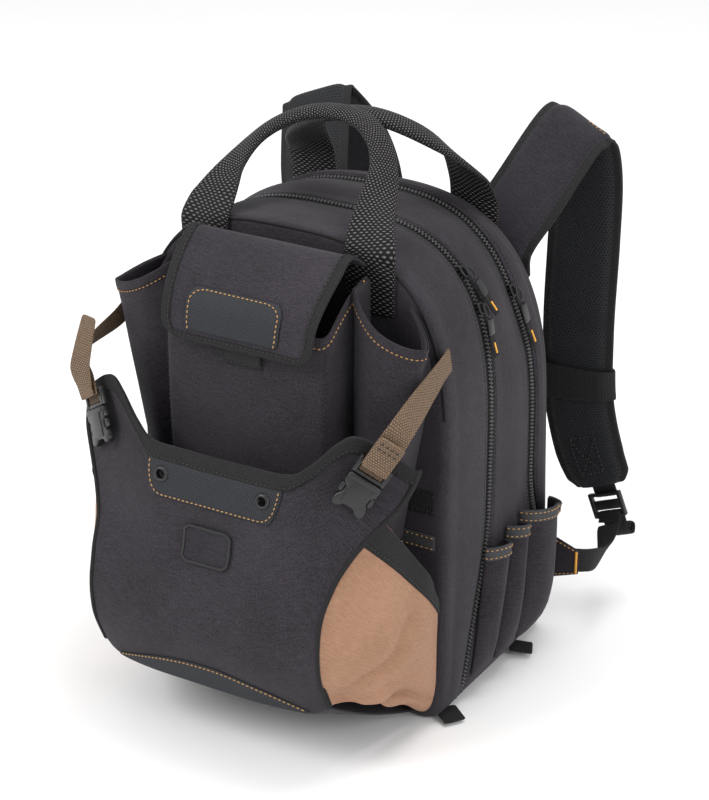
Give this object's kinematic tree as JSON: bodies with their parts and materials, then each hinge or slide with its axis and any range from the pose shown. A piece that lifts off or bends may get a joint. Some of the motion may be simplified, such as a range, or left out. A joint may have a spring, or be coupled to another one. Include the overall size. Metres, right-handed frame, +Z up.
{
  "type": "tool backpack",
  "caption": "Arched tool backpack standing upright, with a buckled front pouch, a lidded pocket, open tool pockets, two webbing handles and padded shoulder straps.",
  "frame": {"origin": "middle of the flat base, on the surface that the backpack stands on", "axes": "+Z up, the pouch faces -Y, the shoulder straps are on +Y, +X is to the right of a viewer facing the pouch"},
  "size_m": [0.4314, 0.4755, 0.5555],
  "materials": {
    "cloth": "coarse black woven cloth",
    "tan_cloth": "tan woven cloth",
    "strap_cloth": "padded black cloth with spacer mesh",
    "patch_cloth": "coated reinforcement cloth",
    "webbing": "black webbing and tape",
    "tan_webbing": "tan webbing",
    "zip": "black coil zip and tape",
    "plastic": "black moulded plastic",
    "dark_metal": "black lacquered metal"
  },
  "bodies": {
    "root": {"front_shell": "cloth", "middle_shell": "cloth", "back_shell": "cloth", "front_zip": "zip", "rear_zip": "zip", "flap_pocket": "cloth", "pocket_flap": "cloth", "flap_patch": "patch_cloth", "closure_strip": "webbing", "pouch_front": "cloth", "pouch_band": "patch_cloth", "pouch_binding": "webbing", "toe_patch": "patch_cloth", "label_patch": "patch_cloth", "pouch_bottom": "cloth", "front_handle": "webbing", "rear_handle": "webbing", "zip_slider_front_upper": "dark_metal", "zip_slider_front_lower": "dark_metal", "zip_slider_rear": "dark_metal", "zip_pull_front_upper": "plastic", "zip_pull_front_lower": "plastic", "zip_pull_rear": "plastic", "tool_pocket_left": "cloth", "tool_pocket_right": "cloth", "pouch_gusset_left": "tan_cloth", "pouch_gusset_right": "tan_cloth", "gusset_binding_left": "webbing", "gusset_binding_right": "webbing", "piping_left": "webbing", "piping_right": "webbing", "grommet_left": "dark_metal", "grommet_right": "dark_metal", "buckle_housing_left": "plastic", "buckle_housing_right": "plastic", "buckle_clip_left": "plastic", "buckle_clip_right": "plastic", "tan_strap_left": "tan_webbing", "tan_strap_right": "tan_webbing", "strap_tail_left": "tan_webbing", "strap_tail_right": "tan_webbing", "shoulder_strap_left": "strap_cloth", "shoulder_strap_right": "strap_cloth", "strap_keeper_left": "webbing", "strap_keeper_right": "webbing", "ladder_lock_left": "plastic", "ladder_lock_right": "plastic", "end_web_left": "webbing", "end_web_right": "webbing", "corner_tab_left": "webbing", "corner_tab_right": "webbing", "lower_strap_left": "webbing", "lower_strap_right": "webbing", "side_pocket_1_left": "cloth", "side_pocket_1_right": "cloth", "side_pocket_2_left": "cloth", "side_pocket_2_right": "cloth", "side_pocket_3_left": "cloth", "side_pocket_3_right": "cloth"}
  },
  "joints": []
}
